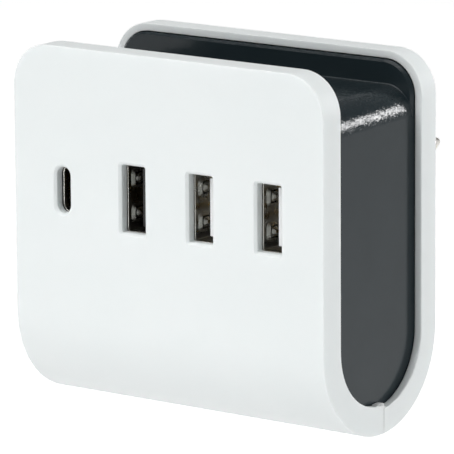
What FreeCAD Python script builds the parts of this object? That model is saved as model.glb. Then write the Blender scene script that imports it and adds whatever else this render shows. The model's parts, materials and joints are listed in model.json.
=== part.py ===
import FreeCAD, Part
import math
import os
from types import SimpleNamespace

import Sketcher

# A plug-in USB charger with a phone shelf, in millimetres.
# The origin lies on the plug's axis, in the plane of the rear cover's back face, which meets the wall.
# +Z is up, the front with the ports faces -Y and the mains pins point to +Y.

DRIVING = {
    # Covers
    "cover_width": 70.2,
    "cover_height": 68.1,
    "cover_depth": 35.2,
    "cover_wall": 2.0,
    "corner_radius": 7.9,
    "front_rim": 5.4,
    "rear_rim": 4.7,
    "rim_width": 1.45,
    "edge_round": 0.2,
    "rim_round": 0.2,
    "parting_setback": 1.0,
    "parting_gap": 0.15,
    "tongue_length": 2.3,
    "tongue_thickness": 0.6,
    # Clearances
    "show_gap": 0.2,
    "seat_gap": 0.1,
    "bore_gap": 0.05,
    # Inner housing and back panel
    "housing_wall": 2.0,
    "shelf_depth": 6.1,
    "shelf_drop": 1.0,
    "shelf_round": 5.4,
    "flange_proud": 0.8,
    "flange_bevel": 0.45,
    "panel_wall": 2.0,
    "lip_depth": 1.5,
    "lip_wall": 1.2,
    # Screw columns of the housing
    "boss_radius": 3.0,
    "boss_length": 5.0,
    "column_radius": 3.2,
    "column_floor": 3.0,
    "column_drop": 4.4,
    "screw_radius": 1.1,
    "screw_head_radius": 1.9,
    "screw_head_height": 1.8,
    "screw_bite": 6.0,
    # Snap hooks of the front cover
    "hook_offset": 18.0,
    "hook_foot": 24.0,
    "hook_drop": 3.0,
    "hook_width": 4.0,
    "hook_thickness": 1.2,
    "hook_barb": 0.6,
    "hook_nose": 1.4,
    # Ports
    "port_height": 41.3,
    "port_setback": 0.2,
    "port_length": 11.6,
    "port_sheet": 0.3,
    "port_edge_round": 0.12,
    "window_bevel": 0.5,
    "window_corner": 0.35,
    "usb_a_first": -7.65,
    "usb_a_pitch": 15.3,
    "usb_a_window_width": 5.4,
    "usb_a_window_height": 12.6,
    "usb_a_mouth_width": 5.12,
    "usb_a_mouth_height": 12.5,
    "usb_a_corner": 0.6,
    "usb_a_tongue_offset": 0.15,
    "usb_a_tongue_thickness": 1.84,
    "usb_a_tongue_height": 10.6,
    "usb_a_tongue_setback": 0.9,
    "usb_a_base_length": 2.6,
    "usb_a_contact_width": 1.0,
    "usb_a_contact_thickness": 0.2,
    "usb_a_contact_inner": 1.0,
    "usb_a_contact_outer": 3.5,
    "usb_a_leg_width": 1.8,
    "spring_offset": 3.2,
    "spring_setback": 0.9,
    "spring_length": 3.6,
    "spring_height": 3.7,
    "spring_corner": 1.05,
    "spring_rise": 0.45,
    "spring_run": 0.65,
    "spring_slot": 0.25,
    "tab_length": 2.0,
    "tab_height": 1.85,
    "tab_corner": 0.75,
    "tab_rise": 0.52,
    "tab_run": 0.62,
    "usb_c_offset": -23.9,
    "usb_c_window_width": 3.2,
    "usb_c_window_height": 8.7,
    "usb_c_mouth_width": 2.56,
    "usb_c_mouth_height": 8.34,
    "usb_c_tongue_thickness": 0.7,
    "usb_c_tongue_height": 6.69,
    "usb_c_tongue_setback": 1.0,
    "usb_c_base_length": 5.0,
    "usb_c_contact_width": 0.25,
    "usb_c_contact_thickness": 0.12,
    "usb_c_contact_pitch": 0.5,
    # Mains plug
    "plug_height": 42.85,
    "plug_radius": 18.5,
    "plug_depth": 18.65,
    "plug_flange_radius": 21.0,
    "plug_face_round": 1.5,
    "guide_width": 5.6,
    "guide_depth": 2.6,
    "clip_width": 9.0,
    "clip_depth": 3.0,
    "earth_offset": 10.0,
    "earth_radius": 3.2,
    "earth_depth": 16.5,
    "pin_radius": 2.4,
    "pin_pitch": 19.0,
    "pin_length": 19.0,
    "pin_tip_length": 3.6,
    "pin_tip_radius": 0.8,
    "pin_tail_radius": 1.2,
    "pin_collar": 0.4,
    "plug_screw_drop": 6.75,
    "plug_screw_pitch": 12.0,
    "plug_boss_radius": 2.6,
    "washer_radius": 3.0,
    "washer_height": 1.2,
    # Boards
    "board_thickness": 1.6,
    "board_drop": 4.0,
    "board_headroom": 1.5,
    "board_margin": 0.35,
    "standoff_height": 2.7,
    "standoff_radius": 2.5,
    "standoff_inset": 2.4,
    "port_board_height": 18.0,
    "port_board_margin": 0.6,
    "rib_thickness": 1.5,
    "solder_stub": 0.8,
    "link_width": 10.2,
    "link_height": 2.5,
    "link_pin": 0.64,
    "link_pitch": 2.54,
    # Mains and output components
    "part_gap": 0.6,
    "bulk_radius": 5.0,
    "bulk_length": 16.0,
    "can_round": 0.6,
    "crimp_depth": 0.35,
    "crimp_width": 1.0,
    "crimp_setback": 2.0,
    "x_cap_length": 13.0,
    "x_cap_width": 5.4,
    "x_cap_height": 10.0,
    "core_width": 20.0,
    "core_height": 17.4,
    "core_thickness": 6.0,
    "core_leg": 3.0,
    "core_centre": 10.0,
    "core_lift": 5.4,
    "bobbin_wall": 0.7,
    "bobbin_reach": 3.2,
    "choke_offset": 18.0,
    "choke_drop": 3.0,
    "choke_outer": 5.0,
    "choke_inner": 2.4,
    "choke_height": 4.4,
    "choke_wire": 2.7,
    "bridge_length": 8.0,
    "bridge_width": 6.0,
    "bridge_height": 3.0,
    "fuse_offset": 14.5,
    "fuse_rise": 3.0,
    "fuse_radius": 1.8,
    "fuse_length": 10.0,
    "fuse_cap": 2.4,
    "y_cap_offset": 20.5,
    "y_cap_rise": -4.5,
    "y_cap_radius": 3.8,
    "y_cap_height": 3.6,
    "opto_offset": 8.5,
    "opto_width": 4.6,
    "opto_length": 6.4,
    "opto_height": 3.4,
    "switch_offset": -7.9,
    "switch_width": 6.4,
    "switch_length": 6.0,
    "switch_height": 2.3,
    "output_radius": 3.15,
    "output_length": 5.8,
    "output_offset": 8.6,
    "diode_length": 6.5,
    "diode_width": 4.4,
    "diode_height": 1.3,
    "inductor_offset": 15.3,
    "inductor_pitch": 8.0,
    "inductor_side": 6.0,
    "inductor_height": 2.4,
    "controller_side": 5.0,
    "controller_height": 1.0,
}

HALF_DIAGONAL = math.sqrt(0.5)
USB_A_COUNT = 3
USB_C_CONTACTS = 12
LINK_PINS = 4


class Size:
    """A length that carries its number and the sheet expression that gives it."""

    def __init__(self, number, text):
        self.number = number
        self.text = text

    def __add__(self, other):
        other = as_size(other)
        return Size(self.number + other.number, f"({self.text} + {other.text})")

    def __sub__(self, other):
        other = as_size(other)
        return Size(self.number - other.number, f"({self.text} - {other.text})")

    def __mul__(self, other):
        other = as_size(other)
        return Size(self.number * other.number, f"({self.text} * {other.text})")

    def __truediv__(self, other):
        other = as_size(other)
        return Size(self.number / other.number, f"({self.text} / {other.text})")

    def __neg__(self):
        return Size(-self.number, f"(-1 * {self.text})")


def as_size(value):
    """Give a plain number the same form as a size from the sheet."""
    return value if isinstance(value, Size) else Size(float(value), repr(float(value)))


def root(size):
    return Size(math.sqrt(size.number), f"sqrt({size.text})")


ZERO = as_size(0)

# The document and its sheet of driving dimensions
doc = FreeCAD.newDocument("UsbCharger")
sheet = doc.addObject("Spreadsheet::Sheet", "Dims")
for row, (alias, number) in enumerate(DRIVING.items(), start=1):
    sheet.set(f"A{row}", alias)
    sheet.set(f"B{row}", str(number))
    sheet.setAlias(f"B{row}", alias)
doc.recompute()
d = SimpleNamespace(**{alias: Size(number, f"Dims.{alias}") for alias, number in DRIVING.items()})

# Levels of the covers
front = -d.cover_depth
bottom = -d.plug_height
top = bottom + d.cover_height
half_width = d.cover_width / 2
bend_radius = d.cover_depth / 2
bend_y = front + bend_radius
bend_z = bottom + bend_radius
front_rim_y = front + d.front_rim
rear_rim_y = -d.rear_rim
parting_y = bend_y + d.parting_setback
inside_front = front + d.cover_wall
inside_rear = -d.cover_wall
hollow_half = half_width - d.rim_width
hollow_top = top - d.rim_width
hollow_corner = d.corner_radius - d.rim_width
hollow_bend = bend_radius - d.cover_wall

# Levels of the dark housing and its back panel
hood_half = hollow_half - d.show_gap
hood_top = hollow_top - d.show_gap
hood_corner = hollow_corner - d.show_gap
hood_bend = hollow_bend - d.seat_gap
hood_front = inside_front + d.seat_gap
hood_inside = hood_front + d.housing_wall
flange_back = front_rim_y + d.flange_proud
seam_y = rear_rim_y - d.flange_proud
panel_back = seam_y + d.panel_wall
shelf_back_z = top - d.shelf_depth
shelf_front_z = shelf_back_z - d.shelf_drop
room_half = hood_half - d.housing_wall
room_bend = hood_bend - d.housing_wall
room_corner = d.shelf_round - d.housing_wall
room_back_z = shelf_back_z - d.housing_wall
room_front_z = shelf_front_z - d.housing_wall

# Places of the columns that hold the back panel
column_x = room_half - d.seat_gap - d.boss_radius
column_levels = (bend_z, room_back_z - d.column_drop)
columns = [(column_x * side, level) for level in column_levels for side in (-1, 1)]
boss_end = seam_y - d.boss_length
screw_seat = boss_end - d.column_floor

# Places of the ports and boards
port_z = bottom + d.port_height
mouth_y = inside_front + d.port_setback
port_board_front = mouth_y + d.port_length
port_board_back = port_board_front + d.board_thickness
port_board_low = port_z - d.port_board_height / 2
port_board_high = port_z + d.port_board_height / 2
port_board_half = room_half - d.port_board_margin
usb_a_places = [d.usb_a_first + d.usb_a_pitch * number for number in range(USB_A_COUNT)]
board_back = seam_y - d.standoff_height
board_front = board_back - d.board_thickness
board_half = column_x - d.column_radius - d.board_margin
board_low = bend_z - d.board_drop
board_high = room_front_z - d.board_headroom
standoff_x = board_half - d.standoff_inset
standoff_low = board_low + d.standoff_inset
standoff_high = board_high - d.standoff_inset
pin_x = d.pin_pitch / 2
core_left = d.core_centre - d.core_width / 2
standoffs = (
    (core_left + d.core_leg / 2, standoff_low),
    (standoff_x, standoff_low),
    (-standoff_x, standoff_high),
    (standoff_x, standoff_high),
)
lip_half = room_half - d.seat_gap
plug_screw_x = lip_half - d.lip_wall - d.seat_gap - d.washer_radius
plug_screw_high = column_levels[1] - d.plug_screw_drop
plug_screw_levels = (plug_screw_high - d.plug_screw_pitch, plug_screw_high)
plug_screws = [(plug_screw_x * side, level) for side in (-1, 1) for level in plug_screw_levels]
link_z = port_board_high - d.link_height - d.part_gap

pieces = []


# Binding and drawing
def bind(target, property_name, size):
    target.setExpression(property_name, as_size(size).text)


def point(x, y):
    return FreeCAD.Vector(x.number, y.number, 0)


def arc_between(start, end, radius, turn):
    """An arc of under half a turn from start to end; turn is 1 counterclockwise, -1 clockwise."""
    a, b = point(*start), point(*end)
    chord = b - a
    rise = math.sqrt(max(radius.number**2 - (chord.Length / 2) ** 2, 0))
    side = FreeCAD.Vector(-chord.y, chord.x, 0).normalize() * (rise * turn)
    centre = a + chord / 2 + side
    first, last = (a, b) if turn > 0 else (b, a)
    begin = math.atan2(first.y - centre.y, first.x - centre.x)
    finish = math.atan2(last.y - centre.y, last.x - centre.x)
    circle_curve = Part.Circle(centre, FreeCAD.Vector(0, 0, 1), radius.number)
    return Part.ArcOfCircle(circle_curve, begin, finish)


def fix_point(sketch, curve, vertex, x, y):
    """Hold one vertex of a sketch at sizes from the sheet."""
    for kind, size in (("DistanceX", x), ("DistanceY", y)):
        index = sketch.addConstraint(Sketcher.Constraint(kind, -1, 1, curve, vertex, size.number))
        bind(sketch, f"Constraints[{index}]", size)


def fix_radius(sketch, curve, radius):
    index = sketch.addConstraint(Sketcher.Constraint("Radius", curve, radius.number))
    bind(sketch, f"Constraints[{index}]", radius)


def outline(sketch, start, *steps):
    """Draw a closed outline: a step is (x, y) for a line, or (x, y, radius, turn) for an arc."""
    ends = []
    here = start
    for step in steps:
        there = step[:2]
        arc = len(step) > 2
        curve = arc_between(here, there, *step[2:]) if arc else Part.LineSegment(point(*here), point(*there))
        index = sketch.addGeometry(curve, False)
        backwards = arc and step[3] < 0
        first, last = (2, 1) if backwards else (1, 2)
        fix_point(sketch, index, first, *here)
        if arc:
            fix_radius(sketch, index, step[2])
        ends.append((index, first, last))
        here = there
    for (index, _, last), (following, first, _) in zip(ends, ends[1:] + ends[:1]):
        sketch.addConstraint(Sketcher.Constraint("Coincident", index, last, following, first))


def rectangle(sketch, x0, x1, y0, y1):
    outline(sketch, (x0, y0), (x1, y0), (x1, y1), (x0, y1), (x0, y0))


def round_rectangle(sketch, x0, x1, y0, y1, radius):
    outline(
        sketch,
        (x0 + radius, y0),
        (x1 - radius, y0),
        (x1, y0 + radius, radius, 1),
        (x1, y1 - radius),
        (x1 - radius, y1, radius, 1),
        (x0 + radius, y1),
        (x0, y1 - radius, radius, 1),
        (x0, y0 + radius),
        (x0 + radius, y0, radius, 1),
    )


def arch(sketch, half, low, high, radius):
    """A rectangle that is square below and rounded at its two upper corners."""
    outline(
        sketch,
        (-half, low),
        (half, low),
        (half, high - radius),
        (half - radius, high, radius, 1),
        (radius - half, high),
        (-half, high - radius, radius, 1),
        (-half, low),
    )


def upright_slot(sketch, x, z, width, height):
    """A slot with round ends, taller than it is wide."""
    radius = width / 2
    reach = height / 2
    straight = reach - radius
    outline(
        sketch,
        (x + radius, z - straight),
        (x + radius, z + straight),
        (x, z + reach, radius, 1),
        (x - radius, z + straight, radius, 1),
        (x - radius, z - straight),
        (x, z - reach, radius, 1),
        (x + radius, z - straight, radius, 1),
    )


def disc(sketch, x, y, radius):
    curve = Part.Circle(point(as_size(x), as_size(y)), FreeCAD.Vector(0, 0, 1), radius.number)
    index = sketch.addGeometry(curve, False)
    fix_point(sketch, index, 3, as_size(x), as_size(y))
    fix_radius(sketch, index, radius)


def discs(places, radius):
    """A drawing of equal discs at the given places."""

    def draw(sketch):
        for x, y in places:
            disc(sketch, x, y, radius)

    return draw


# Bodies and their features
def new_body(name):
    body = doc.addObject("PartDesign::Body", name)
    body.Label = name
    pieces.append(body)
    return body


def sketch_on(body, name, role, offset):
    """A sketch on one of the body's origin planes, moved along that plane's normal."""
    sketch = body.newObject("Sketcher::SketchObject", f"{body.Name}_{name}_sketch")
    plane = next(feature for feature in body.Origin.OriginFeatures if feature.Role == role)
    sketch.AttachmentSupport = [(plane, "")]
    sketch.MapMode = "FlatFace"
    bind(sketch, "AttachmentOffset.Base.z", offset)
    return sketch


def extrude(body, kind, name, role, offset, length, draw):
    sketch = sketch_on(body, name, role, offset)
    draw(sketch)
    feature = body.newObject(f"PartDesign::{kind}", f"{body.Name}_{name}")
    feature.Profile = sketch
    bind(feature, "Length", length)
    return feature


def pad_x(body, name, x0, x1, draw):
    return extrude(body, "Pad", name, "YZ_Plane", x0, x1 - x0, draw)


def pocket_x(body, name, x0, x1, draw):
    return extrude(body, "Pocket", name, "YZ_Plane", x1, x1 - x0, draw)


def pad_y(body, name, y0, y1, draw):
    return extrude(body, "Pad", name, "XZ_Plane", -y1, y1 - y0, draw)


def pocket_y(body, name, y0, y1, draw):
    return extrude(body, "Pocket", name, "XZ_Plane", -y0, y1 - y0, draw)


def pad_z(body, name, z0, z1, draw):
    return extrude(body, "Pad", name, "XY_Plane", z0, z1 - z0, draw)


def loft(body, kind, name, role, first, second):
    """A straight loft between two sketches, each given as (offset, draw)."""
    sections = []
    for end, (offset, draw) in (("start", first), ("end", second)):
        sketch = sketch_on(body, f"{name}_{end}", role, offset)
        draw(sketch)
        sections.append(sketch)
    feature = body.newObject(f"PartDesign::{kind}", f"{body.Name}_{name}")
    feature.Profile = sections[0]
    feature.Sections = [sections[1]]
    feature.Ruled = True
    return feature


def revolve(body, name, draw):
    """Turn a sketch of radius and Y round the body's Y axis."""
    sketch = sketch_on(body, name, "XY_Plane", ZERO)
    draw(sketch)
    feature = body.newObject("PartDesign::Revolution", f"{body.Name}_{name}")
    feature.Profile = sketch
    feature.ReferenceAxis = (sketch, ["V_Axis"])
    feature.Angle = 360
    return feature


def lies_at(edge, axis, size):
    box = edge.BoundBox
    low, high = getattr(box, f"{axis}Min"), getattr(box, f"{axis}Max")
    return max(abs(low - size.number), abs(high - size.number)) < 1e-4


def has_radius(edge, size):
    return isinstance(edge.Curve, Part.Circle) and abs(edge.Curve.Radius - size.number) < 1e-4


def dress_edges(body, kind, name, size, chosen):
    """Fillet or chamfer the edges of the body's last feature that pass the test."""
    doc.recompute()
    base = body.Tip
    names = [f"Edge{number}" for number, edge in enumerate(base.Shape.Edges, start=1) if chosen(edge)]
    dressed = body.newObject(f"PartDesign::{kind}", f"{body.Name}_{name}")
    dressed.Base = (base, names)
    bind(dressed, "Radius" if kind == "Fillet" else "Size", size)
    doc.recompute()


# Primitives and their joins
def box(name, x0, x1, y0, y1, z0, z1):
    solid = doc.addObject("Part::Box", name)
    for property_name, low, high in (("Length", x0, x1), ("Width", y0, y1), ("Height", z0, z1)):
        bind(solid, property_name, as_size(high) - low)
    for axis, low in (("x", x0), ("y", y0), ("z", z0)):
        bind(solid, f"Placement.Base.{axis}", low)
    return solid


ALONG_Y = FreeCAD.Rotation(FreeCAD.Vector(1, 0, 0), -90)


def rod_y(name, x, z, radius, y0, y1):
    """A cylinder along Y."""
    solid = doc.addObject("Part::Cylinder", name)
    solid.Placement = FreeCAD.Placement(FreeCAD.Vector(), ALONG_Y)
    bind(solid, "Radius", radius)
    bind(solid, "Height", y1 - y0)
    for axis, place in (("x", x), ("y", y0), ("z", z)):
        bind(solid, f"Placement.Base.{axis}", place)
    return solid


def join(name, *solids):
    fused = doc.addObject("Part::MultiFuse", name)
    fused.Shapes = list(solids)
    return fused


def cut(name, base, tool):
    cut_solid = doc.addObject("Part::Cut", name)
    cut_solid.Base = base
    cut_solid.Tool = tool
    return cut_solid


def group(name, solids):
    compound = doc.addObject("Part::Compound", name)
    compound.Links = list(solids)
    return compound


def keep(name, solid):
    """Register a finished sub-part under its own label."""
    solid.Label = name
    pieces.append(solid)
    return solid


# Shapes that the covers, the housing and the panel share
def drop_at(radius, y):
    """Height of a bend of this radius below its axis, at a given depth."""
    return bend_z - root(radius * radius - (y - bend_y) * (y - bend_y))


def bend_waste(sketch):
    """Everything outside the dark mouldings' bend."""
    outline(
        sketch,
        (front, bend_z),
        (front, bottom),
        (ZERO, bottom),
        (ZERO, bend_z),
        (bend_y + hood_bend, bend_z),
        (bend_y, bend_z - hood_bend, hood_bend, -1),
        (bend_y - hood_bend, bend_z, hood_bend, -1),
        (front, bend_z),
    )


def port_windows(sketch, a_width, a_height, corner, c_width, c_height):
    for place in usb_a_places:
        round_rectangle(
            sketch,
            place - a_width / 2,
            place + a_width / 2,
            port_z - a_height / 2,
            port_z + a_height / 2,
            corner,
        )
    upright_slot(sketch, d.usb_c_offset, port_z, c_width, c_height)


def round_cover(body, face_y, rim_y, rim_bend):
    """Round a cover's upper corners, then the outer edges of its face and of its rim."""

    def at_side(edge):
        return lies_at(edge, "X", half_width) or lies_at(edge, "X", -half_width)

    def upper_corner(edge):
        return at_side(edge) and lies_at(edge, "Z", top)

    def loop(y, radius):
        def chosen(edge):
            flat = lies_at(edge, "Y", y) and not lies_at(edge, "Z", bend_z)
            return flat or (at_side(edge) and has_radius(edge, radius))

        return chosen

    dress_edges(body, "Fillet", "corners", d.corner_radius, upper_corner)
    dress_edges(body, "Fillet", "face_edge", d.edge_round, loop(face_y, bend_radius))
    dress_edges(body, "Fillet", "rim_edge", d.rim_round, loop(rim_y, rim_bend))


# Front cover
hook_levels = (bottom + d.hook_foot, room_front_z - d.hook_drop)


def hook_outline(level):
    latch = hood_inside + d.seat_gap
    nose = latch + d.hook_nose
    upper = level + d.hook_thickness

    def draw(sketch):
        outline(
            sketch,
            (inside_front, level),
            (nose, level),
            (nose, upper),
            (latch, upper + d.hook_barb),
            (latch, upper),
            (inside_front, upper),
            (inside_front, level),
        )

    return draw


def front_cover():
    body = new_body("front_cover")
    rim_bend = bend_radius - d.front_rim

    def band(sketch):
        outline(
            sketch,
            (front, top),
            (front, bend_z),
            (parting_y, drop_at(bend_radius, parting_y), bend_radius, 1),
            (parting_y, drop_at(rim_bend, parting_y)),
            (front_rim_y, bend_z, rim_bend, -1),
            (front_rim_y, top),
            (front, top),
        )

    def bend_hollow(sketch):
        outline(
            sketch,
            (inside_front, bend_z),
            (parting_y, drop_at(hollow_bend, parting_y), hollow_bend, 1),
            (parting_y, bend_z),
            (inside_front, bend_z),
        )

    pad_x(body, "band", -half_width, half_width, band)
    round_cover(body, front, front_rim_y, rim_bend)
    pocket_y(
        body,
        "hollow",
        inside_front,
        front_rim_y,
        lambda sketch: arch(sketch, hollow_half, bend_z, hollow_top, hollow_corner),
    )
    pocket_x(body, "bend_hollow", -hollow_half, hollow_half, bend_hollow)
    pocket_y(
        body,
        "windows",
        front,
        inside_front,
        lambda sketch: port_windows(
            sketch,
            d.usb_a_window_width,
            d.usb_a_window_height,
            d.window_corner,
            d.usb_c_window_width,
            d.usb_c_window_height,
        ),
    )

    def window_edge(edge):
        box_of_edge = edge.BoundBox
        low = (port_z - d.usb_a_window_height).number
        high = (port_z + d.usb_a_window_height).number
        inside = abs(box_of_edge.Center.x) < hollow_half.number - 1
        return lies_at(edge, "Y", front) and inside and low < box_of_edge.Center.z < high

    dress_edges(body, "Chamfer", "lead_in", d.window_bevel, window_edge)
    for number, level in enumerate(hook_levels):
        for side in (-1, 1):
            middle = d.hook_offset * side
            pad_x(
                body,
                f"hook_{number}_{'right' if side > 0 else 'left'}",
                middle - d.hook_width / 2,
                middle + d.hook_width / 2,
                hook_outline(level),
            )


# Rear cover
def rear_cover():
    body = new_body("rear_cover")
    rim_bend = bend_radius - d.rear_rim
    joint_y = parting_y + d.parting_gap

    def band(sketch):
        outline(
            sketch,
            (ZERO, top),
            (rear_rim_y, top),
            (rear_rim_y, bend_z),
            (joint_y, drop_at(rim_bend, joint_y), rim_bend, -1),
            (joint_y, drop_at(bend_radius, joint_y)),
            (ZERO, bend_z, bend_radius, 1),
            (ZERO, top),
        )

    def bend_hollow(sketch):
        outline(
            sketch,
            (inside_rear, bend_z),
            (joint_y, bend_z),
            (joint_y, drop_at(hollow_bend, joint_y)),
            (inside_rear, bend_z, hollow_bend, 1),
        )

    pad_x(body, "band", -half_width, half_width, band)
    round_cover(body, ZERO, rear_rim_y, rim_bend)
    pocket_y(
        body,
        "hollow",
        rear_rim_y,
        inside_rear,
        lambda sketch: arch(sketch, hollow_half, bend_z, hollow_top, hollow_corner),
    )
    pocket_x(body, "bend_hollow", -hollow_half, hollow_half, bend_hollow)

    # Short tongues that lie on the front cover's rim and hide the parting line
    tongue_low = bottom + d.front_rim + d.seat_gap
    tongue_high = tongue_low + d.tongue_thickness

    def tongue(sketch):
        outline(
            sketch,
            (parting_y - d.tongue_length, tongue_low + d.tongue_thickness / 2),
            (parting_y - d.tongue_length, tongue_low),
            (joint_y, tongue_low),
            (joint_y, drop_at(rim_bend, joint_y)),
            (joint_y + d.tongue_thickness, drop_at(rim_bend, joint_y)),
            (joint_y + d.tongue_thickness, tongue_high),
            (parting_y - d.tongue_length / 2, tongue_high),
            (parting_y - d.tongue_length, tongue_low + d.tongue_thickness / 2),
        )

    pad_x(body, "tongue_left", -half_width + d.rim_round, -hollow_half, tongue)
    pad_x(body, "tongue_right", hollow_half, half_width - d.rim_round, tongue)
    pocket_y(
        body,
        "plug_hole",
        inside_rear,
        ZERO,
        lambda sketch: disc(sketch, 0, 0, d.plug_radius + d.seat_gap),
    )

    boss_face = seam_y + d.seat_gap
    pad_y(body, "bosses", boss_face, inside_rear, discs(plug_screws, d.plug_boss_radius))
    pocket_y(body, "pilots", boss_face, -d.cover_wall / 2, discs(plug_screws, d.screw_radius + d.bore_gap))


# Inner housing: the dark tub with the phone shelf
def inner_housing():
    body = new_body("inner_housing")
    flange_low = shelf_front_z - d.shelf_round * 2
    bevel_y = flange_back - d.flange_bevel

    loft(
        body,
        "AdditiveLoft",
        "tub",
        "XZ_Plane",
        (-hood_front, lambda sketch: arch(sketch, hood_half, bottom, shelf_front_z, d.shelf_round)),
        (-seam_y, lambda sketch: arch(sketch, hood_half, bottom, shelf_back_z, d.shelf_round)),
    )
    pad_y(
        body,
        "flange",
        hood_front,
        bevel_y,
        lambda sketch: arch(sketch, hood_half, flange_low, hood_top, hood_corner),
    )
    inset = d.flange_bevel
    loft(
        body,
        "AdditiveLoft",
        "flange_bevel",
        "XZ_Plane",
        (-bevel_y, lambda sketch: arch(sketch, hood_half, flange_low, hood_top, hood_corner)),
        (
            -flange_back,
            lambda sketch: arch(sketch, hood_half - inset, flange_low, hood_top - inset, hood_corner - inset),
        ),
    )
    pocket_x(body, "bend", -hood_half, hood_half, bend_waste)

    # Room for the boards, one wall inside the outline
    loft(
        body,
        "SubtractiveLoft",
        "room",
        "XZ_Plane",
        (-hood_inside, lambda sketch: arch(sketch, room_half, bend_z, room_front_z, room_corner)),
        (-seam_y, lambda sketch: arch(sketch, room_half, bend_z, room_back_z, room_corner)),
    )

    def bend_room(sketch):
        outline(
            sketch,
            (hood_inside, bend_z),
            (bend_y, bend_z - room_bend, room_bend, 1),
            (seam_y, drop_at(room_bend, seam_y), room_bend, 1),
            (seam_y, bend_z),
            (hood_inside, bend_z),
        )

    pocket_x(body, "bend_room", -room_half, room_half, bend_room)

    # The flange is cored from the front, so that its walls stay even
    pocket_y(
        body,
        "flange_core",
        hood_front,
        flange_back - d.housing_wall,
        lambda sketch: rectangle(
            sketch,
            d.corner_radius - hood_half,
            hood_half - d.corner_radius,
            shelf_front_z,
            hood_top - d.housing_wall,
        ),
    )
    pocket_y(
        body,
        "windows",
        hood_front,
        hood_inside,
        lambda sketch: port_windows(
            sketch,
            d.usb_a_mouth_width + (d.port_sheet + d.show_gap) * 2,
            d.usb_a_mouth_height + (d.port_sheet + d.show_gap) * 2,
            d.window_corner,
            d.usb_c_mouth_width + (d.port_sheet + d.show_gap) * 2,
            d.usb_c_mouth_height + (d.port_sheet + d.show_gap) * 2,
        ),
    )

    def hook_slots(sketch):
        reach = d.hook_width / 2 + d.show_gap
        for level in hook_levels:
            for side in (-1, 1):
                middle = d.hook_offset * side
                rectangle(
                    sketch,
                    middle - reach,
                    middle + reach,
                    level - d.show_gap,
                    level + d.hook_thickness + d.hook_barb + d.show_gap,
                )

    pocket_y(body, "hook_slots", hood_front, hood_inside, hook_slots)

    column_start = hood_front + d.housing_wall / 2
    pad_y(body, "columns", column_start, boss_end, discs(columns, d.column_radius))
    pocket_y(body, "head_bores", hood_front, screw_seat, discs(columns, d.screw_head_radius + d.show_gap))
    pocket_y(body, "screw_bores", screw_seat, boss_end, discs(columns, d.screw_radius + d.seat_gap))

    # Ribs beside the outer ports that stop the port board
    past_shell = d.port_sheet + d.show_gap
    right_rib = usb_a_places[-1] + d.usb_a_mouth_width / 2 + past_shell
    left_rib = d.usb_c_offset - d.usb_c_mouth_width / 2 - past_shell

    def ribs(sketch):
        rectangle(sketch, right_rib, room_half, port_board_low, port_board_high)
        rectangle(sketch, -room_half, left_rib, port_board_low, port_board_high)

    pad_y(body, "ribs", port_board_front - d.rib_thickness, port_board_front, ribs)


# Back panel: closes the tub and shows above the shelf
def back_panel():
    body = new_body("back_panel")
    inset = d.flange_bevel
    bevel_y = seam_y + inset
    lip_top = room_front_z + d.shelf_drop / 2
    lip_low = drop_at(room_bend, seam_y) + d.seat_gap * 2
    lip_corner = room_corner - d.seat_gap

    pad_y(
        body,
        "plate",
        bevel_y,
        panel_back,
        lambda sketch: arch(sketch, hood_half, bottom, hood_top, hood_corner),
    )
    loft(
        body,
        "AdditiveLoft",
        "bevel",
        "XZ_Plane",
        (
            -seam_y,
            lambda sketch: arch(sketch, hood_half - inset, bottom, hood_top - inset, hood_corner - inset),
        ),
        (-bevel_y, lambda sketch: arch(sketch, hood_half, bottom, hood_top, hood_corner)),
    )
    pad_y(
        body,
        "flush",
        seam_y,
        bevel_y,
        lambda sketch: arch(sketch, hood_half, bottom, shelf_back_z, d.shelf_round),
    )
    pocket_x(body, "bend", -hood_half, hood_half, bend_waste)

    def lip(sketch):
        arch(sketch, lip_half, lip_low, lip_top, lip_corner)
        wall = d.lip_wall
        arch(sketch, lip_half - wall, lip_low + wall, lip_top - wall, lip_corner - wall)

    pad_y(body, "lip", seam_y - d.lip_depth, seam_y, lip)

    def passages(sketch):
        for x, z in plug_screws:
            disc(sketch, x, z, d.plug_boss_radius + d.seat_gap)
        for side in (-1, 1):
            disc(sketch, pin_x * side, 0, d.pin_tail_radius + d.show_gap)

    pad_y(body, "bosses", boss_end, seam_y, discs(columns, d.boss_radius))
    pad_y(body, "standoffs", board_back, seam_y, discs(standoffs, d.standoff_radius))
    pilot = d.screw_radius + d.bore_gap
    pocket_y(body, "boss_pilots", boss_end, boss_end + d.screw_bite + d.seat_gap, discs(columns, pilot))
    pocket_y(body, "post_pilots", board_back, seam_y + d.panel_wall / 2, discs(standoffs, pilot))
    pocket_y(body, "passages", seam_y, panel_back, passages)


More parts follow.
